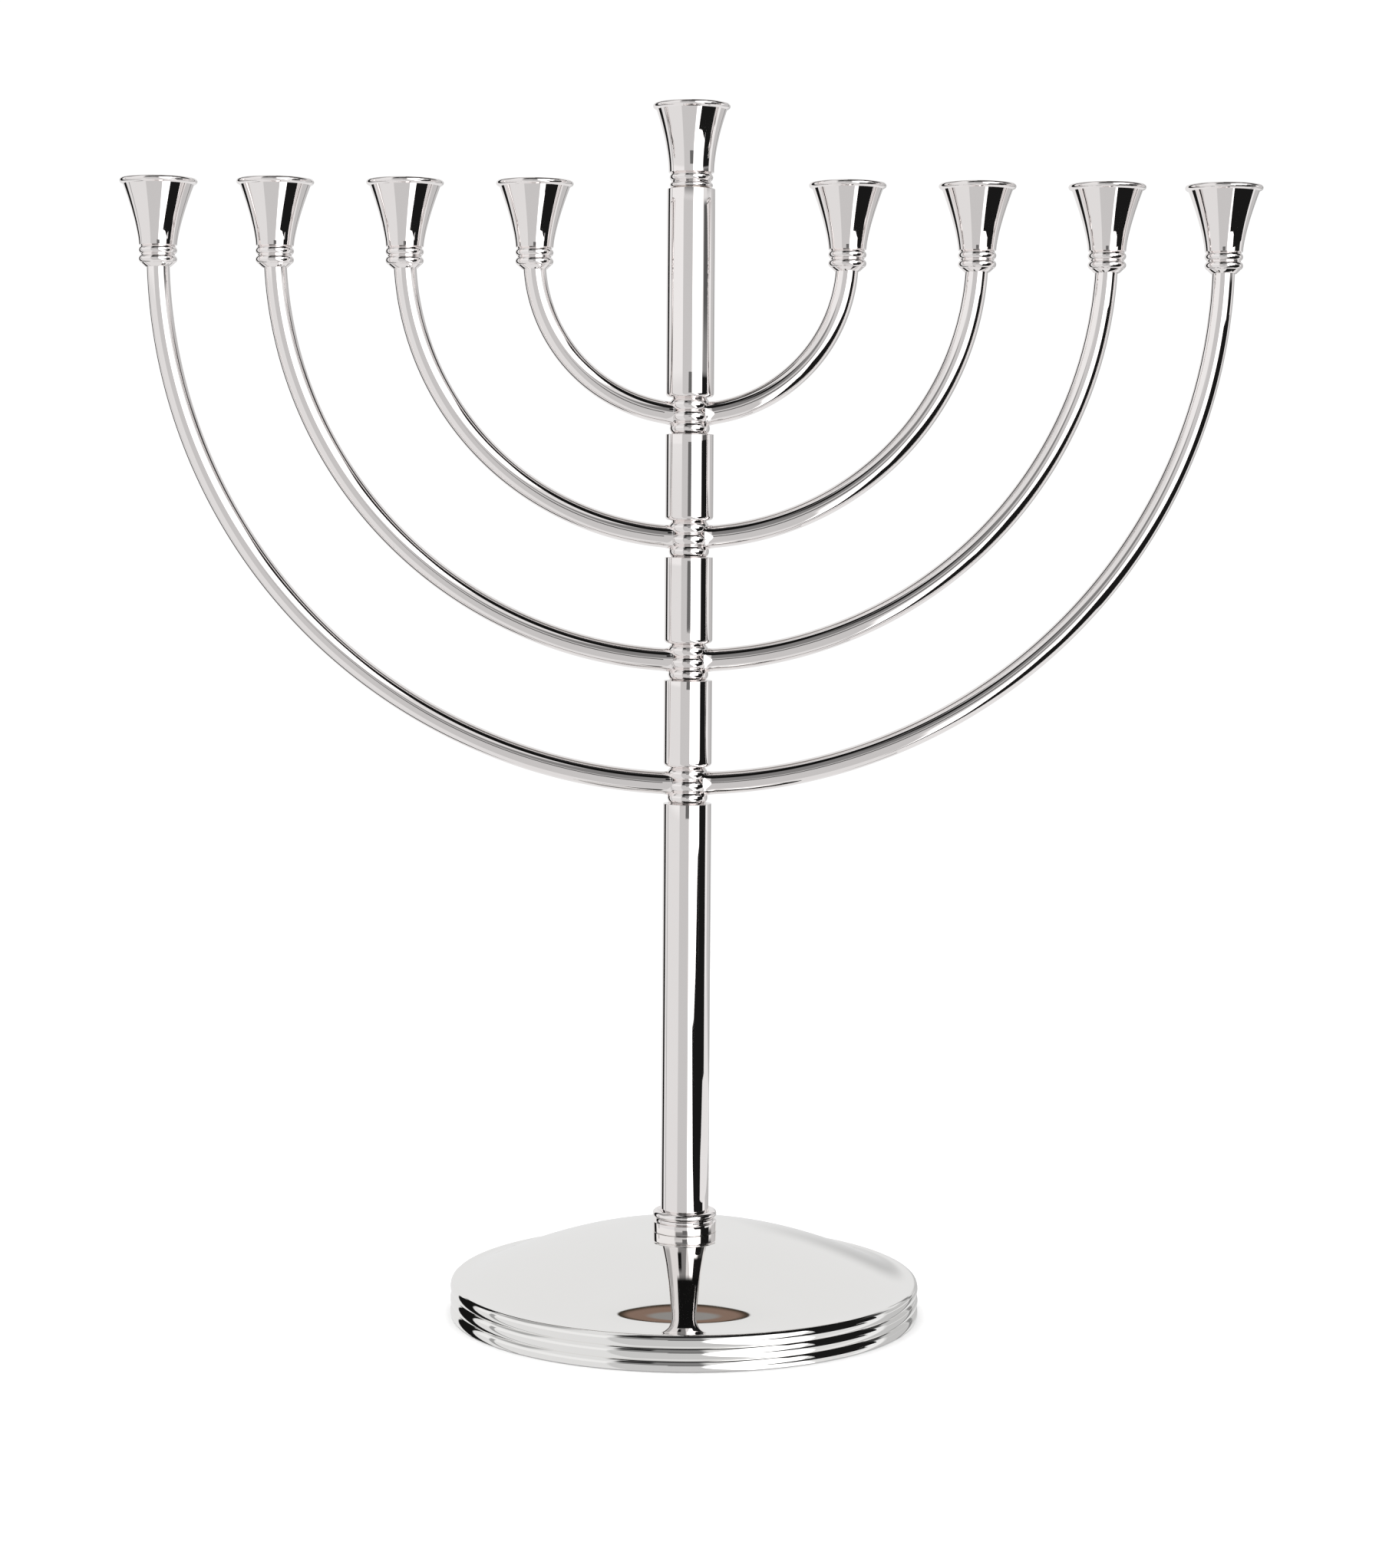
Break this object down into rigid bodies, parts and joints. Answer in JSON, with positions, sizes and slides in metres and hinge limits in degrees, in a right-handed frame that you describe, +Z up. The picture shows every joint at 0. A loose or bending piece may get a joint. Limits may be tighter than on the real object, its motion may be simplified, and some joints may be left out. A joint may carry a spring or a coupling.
{
  "type": "menorah",
  "caption": "Hanukkah menorah: curved arms in rising tiers with flared candle cups, a taller lift-off shamash cup on a round stem, beaded knuckles and a domed, reed-edged base.",
  "frame": {"origin": "on the table under the middle of the base", "axes": "+Z up along the stem, arms along X, +Y away from the front"},
  "size_m": [0.3346, 0.1364, 0.3534],
  "materials": {
    "silver": "mirror-polished silver plate",
    "iron": "raw casting",
    "steel": "zinc plated",
    "brass": "turned, bare",
    "felt": "black baize felt"
  },
  "bodies": {
    "root": {"felt_pad": "felt", "base_weight": "iron", "base_washer": "steel", "base_nut": "steel", "tie_rod": "steel", "base_dome": "silver", "stem_collar": "silver", "stem_tube_1": "silver", "stem_tube_2": "silver", "stem_tube_3": "silver", "stem_tube_4": "silver", "stem_tube_5": "silver", "knuckle_1": "silver", "knuckle_2": "silver", "knuckle_3": "silver", "knuckle_4": "silver", "top_bush": "brass", "arm_left_1": "silver", "arm_left_2": "silver", "arm_left_3": "silver", "arm_left_4": "silver", "cup_left_1": "silver", "cup_left_2": "silver", "cup_left_3": "silver", "cup_left_4": "silver", "arm_right_1": "silver", "arm_right_2": "silver", "arm_right_3": "silver", "arm_right_4": "silver", "cup_right_1": "silver", "cup_right_2": "silver", "cup_right_3": "silver", "cup_right_4": "silver"},
    "shamash": {"shamash_cup": "silver", "shamash_plug": "brass"}
  },
  "joints": [
    {"name": "shamash_lift", "type": "slide", "parent": "root", "child": "shamash", "axis": [0, 0, 1], "range_m": [0, 0.04]}
  ]
}
